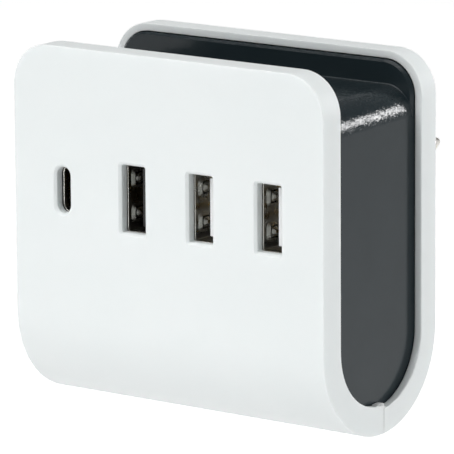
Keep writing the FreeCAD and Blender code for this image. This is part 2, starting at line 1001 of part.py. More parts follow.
# Mains plug
def plug_body():
    body = new_body("plug_body")
    pad_y(
        body,
        "flange",
        panel_back + d.seat_gap,
        inside_rear - d.seat_gap,
        lambda sketch: disc(sketch, 0, 0, d.plug_flange_radius),
    )
    pad_y(
        body,
        "barrel",
        inside_rear - d.seat_gap,
        d.plug_depth,
        lambda sketch: disc(sketch, 0, 0, d.plug_radius),
    )
    dress_edges(
        body,
        "Fillet",
        "face",
        d.plug_face_round,
        lambda edge: lies_at(edge, "Y", d.plug_depth) and has_radius(edge, d.plug_radius),
    )

    def grooves(sketch):
        far = d.plug_radius * 2
        guide = d.plug_radius - d.guide_depth
        clip = d.plug_radius - d.clip_depth
        rectangle(sketch, guide, far, -d.guide_width / 2, d.guide_width / 2)
        rectangle(sketch, -far, -guide, -d.guide_width / 2, d.guide_width / 2)
        rectangle(sketch, -d.clip_width / 2, d.clip_width / 2, clip, far)
        rectangle(sketch, -d.clip_width / 2, d.clip_width / 2, -far, -clip)

    def pin_holes(sketch):
        for side in (-1, 1):
            disc(sketch, pin_x * side, 0, d.pin_radius + d.pin_collar + d.bore_gap)

    pocket_y(body, "grooves", d.edge_round, d.plug_depth, grooves)
    pocket_y(
        body,
        "earth_hole",
        d.plug_depth - d.earth_depth,
        d.plug_depth,
        lambda sketch: disc(sketch, 0, d.earth_offset, d.earth_radius),
    )
    pocket_y(body, "pin_holes", panel_back + d.seat_gap, d.plug_depth, pin_holes)


def plug_pin(name, place):
    body = new_body(name)
    tail = board_front - d.solder_stub
    step = panel_back + d.seat_gap
    tip = d.plug_depth + d.pin_length

    def profile(sketch):
        outline(
            sketch,
            (ZERO, tail),
            (d.pin_tail_radius, tail),
            (d.pin_tail_radius, step),
            (d.pin_radius + d.pin_collar, step),
            (d.pin_radius + d.pin_collar, d.plug_depth),
            (d.pin_radius, d.plug_depth),
            (d.pin_radius, tip - d.pin_tip_length),
            (d.pin_tip_radius, tip),
            (ZERO, tip),
            (ZERO, tail),
        )

    revolve(body, "pin", profile)
    bind(body, "Placement.Base.x", place)


# Ports
def raised_pad(body, name, wall_x, rise, run, corner, y0, y1, z0, z1):
    """A rounded pad on a wall across X, with sides that slope in by the given run."""

    def section(inset):
        return lambda sketch: round_rectangle(
            sketch,
            y0 + inset,
            y1 - inset,
            z0 + inset,
            z1 - inset,
            corner - inset,
        )

    loft(body, "AdditiveLoft", name, "YZ_Plane", (wall_x, section(ZERO)), (wall_x + rise, section(run)))


def stamped_spring(body, tag, side, z):
    """A spring stamped in a broad wall: a raised pad with a tab that is cut free on three sides."""
    wall_x = d.usb_a_mouth_width / 2 * side
    outside_x = wall_x + d.port_sheet * side
    pad_level = wall_x - d.spring_rise * side
    start = mouth_y + d.spring_setback
    end = start + d.spring_length
    tab_end = end - d.spring_run
    tab_start = tab_end - d.tab_length
    slot_start = tab_start - d.spring_slot
    reach = d.tab_height / 2
    clear = reach + d.spring_slot

    def slot(sketch):
        outline(
            sketch,
            (tab_end, z - clear),
            (tab_end, z - reach),
            (tab_start, z - reach),
            (tab_start, z + reach),
            (tab_end, z + reach),
            (tab_end, z + clear),
            (slot_start, z + clear),
            (slot_start, z - clear),
            (tab_end, z - clear),
        )

    raised_pad(
        body,
        f"pad_{tag}",
        wall_x,
        -d.spring_rise * side,
        d.spring_run,
        d.spring_corner,
        start,
        end,
        z - d.spring_height / 2,
        z + d.spring_height / 2,
    )
    low_x, high_x = (outside_x, pad_level) if side < 0 else (pad_level, outside_x)
    pocket_x(body, f"slot_{tag}", low_x, high_x, slot)
    if side < 0:
        # Only the wall that faces the contacts leaves room for a dome on the tab
        raised_pad(
            body,
            f"tab_{tag}",
            pad_level,
            d.tab_rise,
            d.tab_run,
            d.tab_corner,
            tab_start,
            tab_end,
            z - reach,
            z + reach,
        )


def round_mouth(shell):
    """Break the front edges of a port's shell, as its rolled sheet has them."""
    dress_edges(shell, "Fillet", "mouth", d.port_edge_round, lambda edge: lies_at(edge, "Y", mouth_y))


def usb_a_shell(number, place):
    body = new_body(f"usb_a_shell_{number}")
    half = d.usb_a_mouth_width / 2
    tall = d.usb_a_mouth_height / 2
    sheet_metal = d.port_sheet

    def tube(sketch):
        outer = half + sheet_metal
        outer_tall = tall + sheet_metal
        round_rectangle(sketch, -outer, outer, port_z - outer_tall, port_z + outer_tall, d.usb_a_corner)
        corner = d.usb_a_corner - sheet_metal
        round_rectangle(sketch, -half, half, port_z - tall, port_z + tall, corner)

    def legs(sketch):
        reach = d.usb_a_leg_width / 2
        for low in (port_z - tall - sheet_metal, port_z + tall):
            rectangle(sketch, -reach, reach, low, low + sheet_metal)

    pad_y(body, "tube", mouth_y, port_board_front, tube)
    round_mouth(body)
    pad_y(body, "legs", port_board_front, port_board_back + d.solder_stub, legs)

    for side, wall in ((-1, "left"), (1, "right")):
        for offset, row in ((-d.spring_offset, "lower"), (d.spring_offset, "upper")):
            stamped_spring(body, f"{wall}_{row}", side, port_z + offset)
    bind(body, "Placement.Base.x", place)


def contact_levels():
    """Heights of the four contacts of a USB-A port."""
    spans = (-d.usb_a_contact_outer, -d.usb_a_contact_inner, d.usb_a_contact_inner, d.usb_a_contact_outer)
    return [port_z + span for span in spans]


def usb_a_insulator(number, place):
    body = new_body(f"usb_a_insulator_{number}")
    half = d.usb_a_mouth_width / 2 - d.spring_rise - d.seat_gap
    tall = d.usb_a_mouth_height / 2 - d.seat_gap
    base_y = port_board_front - d.usb_a_base_length
    tongue_y = mouth_y + d.usb_a_tongue_setback
    near = d.usb_a_tongue_offset
    far = near + d.usb_a_tongue_thickness
    reach = d.usb_a_tongue_height / 2
    slit = d.usb_a_contact_width / 2 + d.bore_gap

    def slits(sketch):
        for level in contact_levels():
            rectangle(
                sketch,
                near - d.usb_a_contact_thickness - d.bore_gap,
                near,
                level - slit,
                level + slit,
            )

    pad_y(
        body,
        "base",
        base_y,
        port_board_front,
        lambda sketch: rectangle(sketch, -half, half, port_z - tall, port_z + tall),
    )
    pad_y(
        body,
        "tongue",
        tongue_y,
        base_y,
        lambda sketch: rectangle(sketch, near, far, port_z - reach, port_z + reach),
    )
    pocket_y(body, "slits", base_y, port_board_front, slits)
    bind(body, "Placement.Base.x", place)


def usb_a_contacts(number, place):
    name = f"usb_a_contacts_{number}"
    face = place + d.usb_a_tongue_offset
    start = mouth_y + d.usb_a_tongue_setback * 2
    reach = d.usb_a_contact_width / 2
    strips = [
        box(
            f"{name}_{row}",
            face - d.usb_a_contact_thickness,
            face,
            start,
            port_board_back + d.solder_stub,
            level - reach,
            level + reach,
        )
        for row, level in enumerate(contact_levels())
    ]
    keep(name, group(name, strips))


def usb_c_port():
    place = d.usb_c_offset
    width = d.usb_c_mouth_width
    height = d.usb_c_mouth_height
    shell = new_body("usb_c_shell")

    def tube(sketch):
        upright_slot(sketch, place, port_z, width + d.port_sheet * 2, height + d.port_sheet * 2)
        upright_slot(sketch, place, port_z, width, height)

    pad_y(shell, "tube", mouth_y, port_board_front, tube)
    round_mouth(shell)

    insulator = new_body("usb_c_insulator")
    base_y = port_board_front - d.usb_c_base_length
    reach = d.usb_c_tongue_height / 2
    half = d.usb_c_tongue_thickness / 2
    groove = d.usb_c_contact_thickness + d.bore_gap
    gap = d.bore_gap * 2

    def channels(sketch):
        rectangle(sketch, place + half, place + half + groove, port_z - reach, port_z + reach)
        rectangle(sketch, place - half - groove, place - half, port_z - reach, port_z + reach)

    pad_y(
        insulator,
        "base",
        base_y,
        port_board_front,
        lambda sketch: upright_slot(sketch, place, port_z, width - gap, height - gap),
    )
    pad_y(
        insulator,
        "tongue",
        mouth_y + d.usb_c_tongue_setback,
        base_y,
        lambda sketch: rectangle(sketch, place - half, place + half, port_z - reach, port_z + reach),
    )
    pocket_y(insulator, "channels", base_y, port_board_front, channels)

    start = mouth_y + d.usb_c_tongue_setback * 1.5
    strips = []
    for side, inner in ((-1, place - half), (1, place + half)):
        outer = inner + d.usb_c_contact_thickness * side
        low, high = (outer, inner) if side < 0 else (inner, outer)
        for number in range(USB_C_CONTACTS):
            level = port_z + d.usb_c_contact_pitch * (number - (USB_C_CONTACTS - 1) / 2)
            strips.append(
                box(
                    f"usb_c_contact_{'left' if side < 0 else 'right'}_{number}",
                    low,
                    high,
                    start,
                    port_board_front,
                    level - d.usb_c_contact_width / 2,
                    level + d.usb_c_contact_width / 2,
                )
            )
    keep("usb_c_contacts", group("usb_c_contacts", strips))


# Boards and what holds them
def link_places():
    return [d.link_pitch * (number - (LINK_PINS - 1) / 2) for number in range(LINK_PINS)]


def boards():
    link_hole = d.link_pin * HALF_DIAGONAL + d.bore_gap
    link_centre = link_z + d.link_height / 2

    main = new_body("main_board")
    pad_y(
        main,
        "plate",
        board_front,
        board_back,
        lambda sketch: rectangle(sketch, -board_half, board_half, board_low, board_high),
    )

    def main_holes(sketch):
        for x, z in standoffs:
            disc(sketch, x, z, d.screw_radius + d.seat_gap)
        for side in (-1, 1):
            disc(sketch, pin_x * side, 0, d.pin_tail_radius + d.bore_gap)
        for place in link_places():
            disc(sketch, place, link_centre, link_hole)

    pocket_y(main, "holes", board_front, board_back, main_holes)

    port = new_body("port_board")
    pad_y(
        port,
        "plate",
        port_board_front,
        port_board_back,
        lambda sketch: rectangle(sketch, -port_board_half, port_board_half, port_board_low, port_board_high),
    )

    def port_holes(sketch):
        contact_x = d.usb_a_tongue_offset - d.usb_a_contact_thickness / 2
        leg = d.usb_a_leg_width / 2 + d.bore_gap
        tall = d.usb_a_mouth_height / 2
        for place in usb_a_places:
            for level in contact_levels():
                disc(sketch, place + contact_x, level, d.usb_a_contact_width / 2 + d.seat_gap)
            for low in (port_z - tall - d.port_sheet, port_z + tall):
                rectangle(
                    sketch,
                    place - leg,
                    place + leg,
                    low - d.bore_gap,
                    low + d.port_sheet + d.bore_gap,
                )
        for place in link_places():
            disc(sketch, place, link_centre, link_hole)

    pocket_y(port, "holes", port_board_front, port_board_back, port_holes)

    block = new_body("link_block")
    pad_y(
        block,
        "block",
        port_board_back,
        board_front,
        lambda sketch: rectangle(
            sketch,
            -d.link_width / 2,
            d.link_width / 2,
            link_z,
            link_z + d.link_height,
        ),
    )

    def link_holes(sketch):
        side = d.link_pin / 2 + d.bore_gap
        for place in link_places():
            rectangle(sketch, place - side, place + side, link_centre - side, link_centre + side)

    pocket_y(block, "holes", port_board_back, board_front, link_holes)

    side = d.link_pin / 2
    pins = [
        box(
            f"link_pin_{number}",
            place - side,
            place + side,
            port_board_front - d.solder_stub,
            board_back + d.solder_stub,
            link_centre - side,
            link_centre + side,
        )
        for number, place in enumerate(link_places())
    ]
    keep("link_pins", group("link_pins", pins))


def screw(name, x, z, head_radius, head_start, seat, end):
    head = rod_y(f"{name}_head", x, z, head_radius, head_start, seat)
    shank = rod_y(f"{name}_shank", x, z, d.screw_radius, head_start, end)
    return join(name, head, shank)


def screws():
    housing = [
        screw(
            f"housing_screw_{number}",
            x,
            z,
            d.screw_head_radius,
            screw_seat - d.screw_head_height,
            screw_seat,
            boss_end + d.screw_bite,
        )
        for number, (x, z) in enumerate(columns)
    ]
    keep("housing_screws", group("housing_screws", housing))
    plug = [
        screw(
            f"plug_screw_{number}",
            x,
            z,
            d.washer_radius,
            seam_y - d.washer_height,
            seam_y,
            -d.cover_wall / 2 - d.seat_gap,
        )
        for number, (x, z) in enumerate(plug_screws)
    ]
    keep("plug_screws", group("plug_screws", plug))
    board = [
        screw(
            f"board_screw_{number}",
            x,
            z,
            d.screw_head_radius,
            board_front - d.screw_head_height,
            board_front,
            seam_y,
        )
        for number, (x, z) in enumerate(standoffs)
    ]
    keep("board_screws", group("board_screws", board))


# Components on the main board, each standing on its front side
def can_capacitor(name, x, z, radius, length):
    """An electrolytic can with a crimped groove near its base, along Y."""
    body = new_body(name)
    far = board_front - length
    crimp = board_front - d.crimp_setback

    def profile(sketch):
        outline(
            sketch,
            (ZERO, far),
            (radius - d.can_round, far),
            (radius, far + d.can_round, d.can_round, 1),
            (radius, crimp - d.crimp_width / 2),
            (radius - d.crimp_depth, crimp),
            (radius, crimp + d.crimp_width / 2),
            (radius, board_front),
            (ZERO, board_front),
            (ZERO, far),
        )

    revolve(body, "can", profile)
    bind(body, "Placement.Base.x", x)
    bind(body, "Placement.Base.z", z)


def standing_box(name, x0, x1, z0, z1, height):
    keep(name, box(name, x0, x1, board_front - height, board_front, z0, z1))


def mains_side():
    bulk_z = board_low + d.bulk_radius + d.part_gap
    bulk_first = d.bulk_radius + d.part_gap - board_half
    bulk_pitch = d.bulk_radius * 2 + d.part_gap
    for number in range(2):
        can_capacitor(
            f"bulk_capacitor_{number + 1}",
            bulk_first + bulk_pitch * number,
            bulk_z,
            d.bulk_radius,
            d.bulk_length,
        )

    x_cap_top = port_board_low - d.part_gap
    standing_box(
        "x_capacitor",
        -board_half,
        d.x_cap_length - board_half,
        x_cap_top - d.x_cap_width,
        x_cap_top,
        d.x_cap_height,
    )
    standing_box(
        "bridge_rectifier",
        -d.bridge_length / 2,
        d.bridge_length / 2,
        port_board_low + d.part_gap,
        port_board_low + d.part_gap + d.bridge_width,
        d.bridge_height,
    )
    standing_box(
        "power_switch",
        d.switch_offset - d.switch_width / 2,
        d.switch_offset + d.switch_width / 2,
        port_board_low,
        port_board_low + d.switch_length,
        d.switch_height,
    )
    standing_box(
        "optocoupler",
        d.opto_offset - d.opto_width / 2,
        d.opto_offset + d.opto_width / 2,
        port_board_low,
        port_board_low + d.opto_length,
        d.opto_height,
    )
    keep(
        "y_capacitor",
        rod_y(
            "y_capacitor",
            d.y_cap_offset,
            d.y_cap_rise,
            d.y_cap_radius,
            board_front - d.y_cap_height,
            board_front,
        ),
    )

    # Fuse: a tube between two square end caps
    fuse_low = d.fuse_rise - d.fuse_length / 2
    fuse_high = d.fuse_rise + d.fuse_length / 2
    tube = doc.addObject("Part::Cylinder", "fuse_tube")
    bind(tube, "Radius", d.fuse_radius)
    bind(tube, "Height", d.fuse_length)
    for axis, place in (("x", d.fuse_offset), ("y", board_front - d.fuse_radius), ("z", fuse_low)):
        bind(tube, f"Placement.Base.{axis}", place)
    caps = [
        box(
            f"fuse_cap_{number}",
            d.fuse_offset - d.fuse_radius,
            d.fuse_offset + d.fuse_radius,
            board_front - d.fuse_radius * 2,
            board_front,
            low,
            low + d.fuse_cap,
        )
        for number, low in enumerate((fuse_low, fuse_high - d.fuse_cap))
    ]
    keep("fuse", join("fuse", tube, *caps))


def common_mode_choke():
    x = -d.choke_offset
    z = -d.choke_drop
    middle = board_front - d.choke_wire
    half = d.choke_height / 2

    def ring(name):
        outer = rod_y(f"{name}_outer", x, z, d.choke_outer, middle - half, middle + half)
        inner = rod_y(f"{name}_inner", x, z, d.choke_inner, middle - half, middle + half)
        return cut(name, outer, inner)

    keep("choke_ring", ring("choke_ring"))
    windings = []
    for number, start in enumerate((20, 200)):
        torus = doc.addObject("Part::Torus", f"choke_torus_{number}")
        bind(torus, "Radius1", (d.choke_outer + d.choke_inner) / 2)
        bind(torus, "Radius2", d.choke_wire)
        torus.Angle3 = 140
        turn = FreeCAD.Rotation(FreeCAD.Vector(0, 1, 0), start)
        torus.Placement = FreeCAD.Placement(FreeCAD.Vector(), turn.multiply(ALONG_Y))
        for axis, place in (("x", x), ("y", middle), ("z", z)):
            bind(torus, f"Placement.Base.{axis}", place)
        windings.append(cut(f"choke_winding_{number}", torus, ring(f"choke_space_{number}")))
    keep("choke_windings", group("choke_windings", windings))


def transformer():
    left = core_left
    right = left + d.core_width
    high = port_board_low - d.part_gap
    low = high - d.core_height
    back = board_front - d.core_lift
    near = back - d.core_thickness
    leg = d.core_leg
    inner_left = d.core_centre - leg
    inner_right = d.core_centre + leg
    floor = low + leg
    ceiling = high - leg

    core = new_body("transformer_core")

    def windows(sketch):
        rectangle(sketch, left + leg, inner_left, floor, ceiling)
        rectangle(sketch, inner_right, right - leg, floor, ceiling)

    pad_y(core, "yoke", near, back, lambda sketch: rectangle(sketch, left, right, low, high))
    pocket_y(core, "windows", near, back, windows)

    # The bobbin's tube sits on the centre leg, and its end plates stand on the board
    gap = d.seat_gap
    wall = d.bobbin_wall
    plate_left = left + leg + gap
    plate_right = right - leg - gap
    tube_left = inner_left - gap - wall
    tube_right = inner_right + gap + wall
    tube_near = near - gap - wall
    tube_back = back + gap + wall
    plate_near = near - d.bobbin_reach
    bobbin = new_body("transformer_bobbin")

    def plate(sketch):
        rectangle(sketch, plate_left, plate_right, plate_near, board_front)

    pad_z(bobbin, "lower_plate", floor + gap, floor + gap + wall, plate)
    pad_z(
        bobbin,
        "tube",
        floor + gap + wall,
        ceiling - gap - wall,
        lambda sketch: rectangle(sketch, tube_left, tube_right, tube_near, tube_back),
    )
    pad_z(bobbin, "upper_plate", ceiling - gap - wall, ceiling - gap, plate)
    extrude(
        bobbin,
        "Pocket",
        "leg_hole",
        "XY_Plane",
        ceiling,
        ceiling - floor,
        lambda sketch: rectangle(sketch, inner_left - gap, inner_right + gap, near - gap, back + gap),
    )

    winding = new_body("transformer_winding")

    def turns(sketch):
        round_rectangle(
            sketch,
            plate_left + wall,
            plate_right - wall,
            plate_near + wall,
            back + d.bobbin_reach - wall,
            d.can_round * 2,
        )
        rectangle(sketch, tube_left, tube_right, tube_near, tube_back)

    pad_z(winding, "turns", floor + gap + wall, ceiling - gap - wall, turns)


def output_side():
    level = board_high - d.part_gap - d.output_radius
    for number, side in enumerate((-1, 1), start=1):
        can_capacitor(
            f"output_capacitor_{number}",
            d.output_offset * side,
            level,
            d.output_radius,
            d.output_length,
        )
    diode_top = link_z - d.part_gap
    standing_box(
        "output_rectifier",
        -d.diode_length / 2,
        d.diode_length / 2,
        diode_top - d.diode_width,
        diode_top,
        d.diode_height,
    )
    half = d.inductor_side / 2
    coils = []
    for number, height in enumerate((port_z - d.inductor_pitch / 2, port_z + d.inductor_pitch / 2)):
        coils.append(
            box(
                f"inductor_{number}",
                d.inductor_offset - half,
                d.inductor_offset + half,
                port_board_back,
                port_board_back + d.inductor_height,
                height - half,
                height + half,
            )
        )
    keep("power_inductors", group("power_inductors", coils))
    chip = d.controller_side / 2
    keep(
        "charge_controller",
        box(
            "charge_controller",
            -chip,
            chip,
            port_board_back,
            port_board_back + d.controller_height,
            port_z - chip,
            port_z + chip,
        ),
    )


# Build every sub-part
front_cover()
rear_cover()
inner_housing()
back_panel()
plug_body()
plug_pin("plug_pin_left", -pin_x)
plug_pin("plug_pin_right", pin_x)
for port_number, port_place in enumerate(usb_a_places, start=1):
    usb_a_shell(port_number, port_place)
    usb_a_insulator(port_number, port_place)
    usb_a_contacts(port_number, port_place)
usb_c_port()
boards()
screws()
mains_side()
common_mode_choke()
transformer()
output_side()
doc.recompute()

# Check the document, then write each sub-part
for item in doc.Objects:
    if "Invalid" in item.State or "Error" in item.State:
        raise RuntimeError(f"{item.Name} failed: {item.State}")
for piece in pieces:
    if piece.Shape.isNull() or not piece.Shape.isValid():
        raise RuntimeError(f"{piece.Label} has no valid shape")

os.makedirs("parts", exist_ok=True)
for piece in pieces:
    piece.Shape.exportStep(f"parts/{piece.Label}.step")
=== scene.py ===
import json
import math

import bmesh
import bpy
from mathutils import Matrix, Vector


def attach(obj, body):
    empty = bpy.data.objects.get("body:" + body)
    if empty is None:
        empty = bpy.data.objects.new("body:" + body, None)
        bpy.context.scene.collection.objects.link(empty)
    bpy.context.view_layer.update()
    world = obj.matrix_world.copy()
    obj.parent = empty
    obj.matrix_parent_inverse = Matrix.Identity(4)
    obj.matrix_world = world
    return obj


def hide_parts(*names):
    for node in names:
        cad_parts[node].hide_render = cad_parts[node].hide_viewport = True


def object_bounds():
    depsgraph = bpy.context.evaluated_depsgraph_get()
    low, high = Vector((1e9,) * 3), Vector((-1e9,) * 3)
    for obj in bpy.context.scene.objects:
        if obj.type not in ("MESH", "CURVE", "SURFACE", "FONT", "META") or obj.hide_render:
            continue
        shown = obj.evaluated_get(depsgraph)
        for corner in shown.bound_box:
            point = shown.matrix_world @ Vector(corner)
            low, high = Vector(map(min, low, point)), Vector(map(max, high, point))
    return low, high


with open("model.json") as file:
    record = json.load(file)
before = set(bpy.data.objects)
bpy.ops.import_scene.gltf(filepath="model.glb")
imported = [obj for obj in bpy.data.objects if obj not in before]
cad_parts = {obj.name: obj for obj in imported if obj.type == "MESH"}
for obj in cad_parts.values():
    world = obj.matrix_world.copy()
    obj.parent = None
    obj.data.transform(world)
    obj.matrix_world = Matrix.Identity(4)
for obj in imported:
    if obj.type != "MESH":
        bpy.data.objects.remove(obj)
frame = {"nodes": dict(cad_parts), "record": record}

# The box of the solids, kept to set the floor below them
cad_box = [list(corner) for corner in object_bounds()]

MM = 0.001

PLASTIC_IOR = 1.53
# Octaves of a soft cloud and of a fine grit
SOFT, FINE = 2.0, 3.0
# Most values of a noise texture lie between these two
NOISE_LOW, NOISE_HIGH = 0.3, 0.7
# Patches of gloss across one cloud of a plastic's colour, and their size on metal in millimetres
PATCHES = 4
METAL_PATCH = 3.0
# The middle of a pit's random colour
MIDDLE = (0.5, 0.5, 0.5)
# The upright part of a normal on a steep wall, and where a face no longer counts as steep
STEEP, SLOPING = 0.02, 0.12


def linear(hex_colour):
    """Turn an sRGB hex value into linear red, green, blue and alpha."""
    parts = [int(hex_colour[i : i + 2], 16) / 255 for i in (1, 3, 5)]
    light = [c / 12.92 if c <= 0.04045 else ((c + 0.055) / 1.055) ** 2.4 for c in parts]
    return light + [1.0]


def cells(size):
    """Texture scale, in cells to the metre, for a pattern whose cells are this many millimetres."""
    return 1 / (size * MM)


def add(tree, kind, inputs=None, **settings):
    """Add a node with its settings; an input is a value, or a socket to link from."""
    made = tree.nodes.new(kind)
    for name, value in settings.items():
        setattr(made, name, value)
    for key, value in (inputs or {}).items():
        if isinstance(value, bpy.types.NodeSocket):
            tree.links.new(value, made.inputs[key])
        else:
            made.inputs[key].default_value = value
    return made


def new_material(name):
    """An empty node material and its tree."""
    material = bpy.data.materials.new(name)
    material.use_nodes = True
    material.node_tree.nodes.clear()
    return material, material.node_tree


def clouded_colour(tree, place, cloud, low, high):
    """A plastic's colour, drifting between two shades in clouds of this many millimetres."""
    drift = add(
        tree,
        "ShaderNodeTexNoise",
        {"Vector": place, "Scale": cells(cloud), "Detail": SOFT},
    )
    colour = add(
        tree,
        "ShaderNodeMix",
        {0: drift.outputs[0], 6: linear(low), 7: linear(high)},
        data_type="RGBA",
    )
    return colour.outputs[2]


def patchy_gloss(tree, place, patch, rough):
    """A roughness that drifts between two values in patches of this many millimetres."""
    drift = add(
        tree,
        "ShaderNodeTexNoise",
        {"Vector": place, "Scale": cells(patch), "Detail": SOFT},
    )
    gloss = add(
        tree,
        "ShaderNodeMapRange",
        {
            "Value": drift.outputs[0],
            "From Min": NOISE_LOW,
            "From Max": NOISE_HIGH,
            "To Min": rough[0],
            "To Max": rough[1],
        },
    )
    return gloss.outputs[0]


# The grit of a real mould is finer than the render can show, so it is drawn as coarse as it needs
def moulded_plastic(name, low, high, cloud, grit, depth, rough, soak=0.0):
    """Moulded plastic: faint clouds in colour and gloss, the mould's grit, and light soaking in."""
    material, tree = new_material(name)
    place = add(tree, "ShaderNodeTexCoord").outputs["Object"]
    skin = add(tree, "ShaderNodeTexNoise", {"Vector": place, "Scale": cells(grit), "Detail": FINE})
    relief = add(
        tree,
        "ShaderNodeBump",
        {"Strength": 1.0, "Distance": depth * MM, "Height": skin.outputs[0]},
    )
    shader = add(
        tree,
        "ShaderNodeBsdfPrincipled",
        {
            "Base Color": clouded_colour(tree, place, cloud, low, high),
            "Roughness": patchy_gloss(tree, place, cloud / PATCHES, rough),
            "Normal": relief.outputs[0],
            "IOR": PLASTIC_IOR,
            "Subsurface Weight": 1.0 if soak else 0.0,
            "Subsurface Radius": (soak * MM, soak * MM, soak * MM),
            "Subsurface Scale": 1.0,
        },
    )
    add(tree, "ShaderNodeOutputMaterial", {"Surface": shader.outputs[0]})
    return material


# Real pits are about 0.03 mm across, so they too are drawn as coarse as they need to show
def pitted_plastic(name, low, high, cloud, pit, lean, rough, specular):
    """Plastic from a spark eroded mould: tiny facets that each lean their own way and catch a lamp.

    The two leans are those of the facets on steep walls and on all other faces.
    """
    material, tree = new_material(name)
    place = add(tree, "ShaderNodeTexCoord").outputs["Object"]
    pits = add(tree, "ShaderNodeTexVoronoi", {"Vector": place, "Scale": cells(pit)})
    sway = add(
        tree,
        "ShaderNodeVectorMath",
        {0: pits.outputs["Color"], 1: MIDDLE},
        operation="SUBTRACT",
    )
    # Most facets lean little and a few lean far, so that a glint has a dense core and a thin edge
    far = add(tree, "ShaderNodeVectorMath", {0: sway.outputs[0]}, operation="ABSOLUTE")
    peaked = add(
        tree,
        "ShaderNodeVectorMath",
        {0: sway.outputs[0], 1: far.outputs[0]},
        operation="MULTIPLY",
    )
    # Steep walls of such a mould are finer, so that the piece lets go
    flat = add(tree, "ShaderNodeNewGeometry").outputs["Normal"]
    rise = add(tree, "ShaderNodeSeparateXYZ", {0: flat}).outputs["Z"]
    upright = add(tree, "ShaderNodeMath", {0: rise}, operation="ABSOLUTE")
    tilt = add(
        tree,
        "ShaderNodeMapRange",
        {
            "Value": upright.outputs[0],
            "From Min": STEEP,
            "From Max": SLOPING,
            "To Min": lean[0],
            "To Max": lean[1],
        },
    )
    swayed = add(
        tree,
        "ShaderNodeVectorMath",
        {0: peaked.outputs[0], "Scale": tilt.outputs[0]},
        operation="SCALE",
    )
    leaning = add(tree, "ShaderNodeVectorMath", {0: swayed.outputs[0], 1: flat}, operation="ADD")
    facet = add(tree, "ShaderNodeVectorMath", {0: leaning.outputs[0]}, operation="NORMALIZE")
    shader = add(
        tree,
        "ShaderNodeBsdfPrincipled",
        {
            "Base Color": clouded_colour(tree, place, cloud, low, high),
            "Roughness": patchy_gloss(tree, place, cloud / PATCHES, rough),
            "Normal": facet.outputs[0],
            "IOR": PLASTIC_IOR,
            "Specular IOR Level": specular,
        },
    )
    add(tree, "ShaderNodeOutputMaterial", {"Surface": shader.outputs[0]})
    return material


# Lines left by rolls and dies are also finer than the render can show, and drawn coarser
def drawn_metal(name, low, high, lines, rough, depth):
    """Plated metal: fine lines along the way it was rolled, drawn or turned."""
    material, tree = new_material(name)
    place = add(tree, "ShaderNodeTexCoord").outputs["Object"]
    drawn = add(
        tree,
        "ShaderNodeMapping",
        {"Vector": place, "Scale": [cells(size) for size in lines]},
    )
    streak = add(
        tree,
        "ShaderNodeTexNoise",
        {"Vector": drawn.outputs[0], "Scale": 1.0, "Detail": FINE},
    )
    colour = add(
        tree,
        "ShaderNodeMix",
        {0: streak.outputs[0], 6: linear(low), 7: linear(high)},
        data_type="RGBA",
    )
    relief = add(
        tree,
        "ShaderNodeBump",
        {"Strength": 1.0, "Distance": depth * MM, "Height": streak.outputs[0]},
    )
    shader = add(
        tree,
        "ShaderNodeBsdfPrincipled",
        {
            "Base Color": colour.outputs[2],
            "Metallic": 1.0,
            "Roughness": patchy_gloss(tree, place, METAL_PATCH, rough),
            "Normal": relief.outputs[0],
        },
    )
    add(tree, "ShaderNodeOutputMaterial", {"Surface": shader.outputs[0]})
    return material


